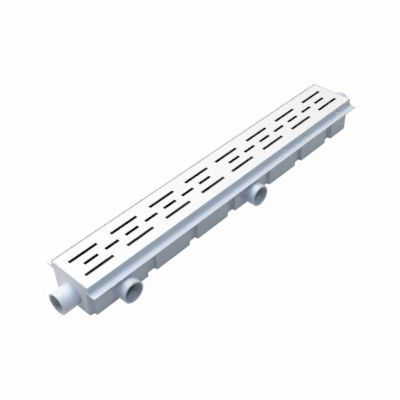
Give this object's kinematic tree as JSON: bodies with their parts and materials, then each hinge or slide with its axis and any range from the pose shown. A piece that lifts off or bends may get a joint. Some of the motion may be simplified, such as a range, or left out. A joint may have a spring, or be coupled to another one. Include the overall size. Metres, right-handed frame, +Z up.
{
  "type": "linear channel drain",
  "caption": "White plastic linear floor drain: long channel with side flanges, corrugated trough walls, open round outlet stubs and a lift-out slotted grate.",
  "frame": {"origin": "centre of the trough's flat underside", "axes": "+X along the channel, +Y towards the long side without stubs, +Z up"},
  "size_m": [0.774, 0.1351, 0.0696],
  "materials": {
    "body": "satin moulded PVC",
    "grate": "satin moulded PVC"
  },
  "bodies": {
    "root": {"channel_body": "body", "grate": "grate"}
  },
  "joints": []
}
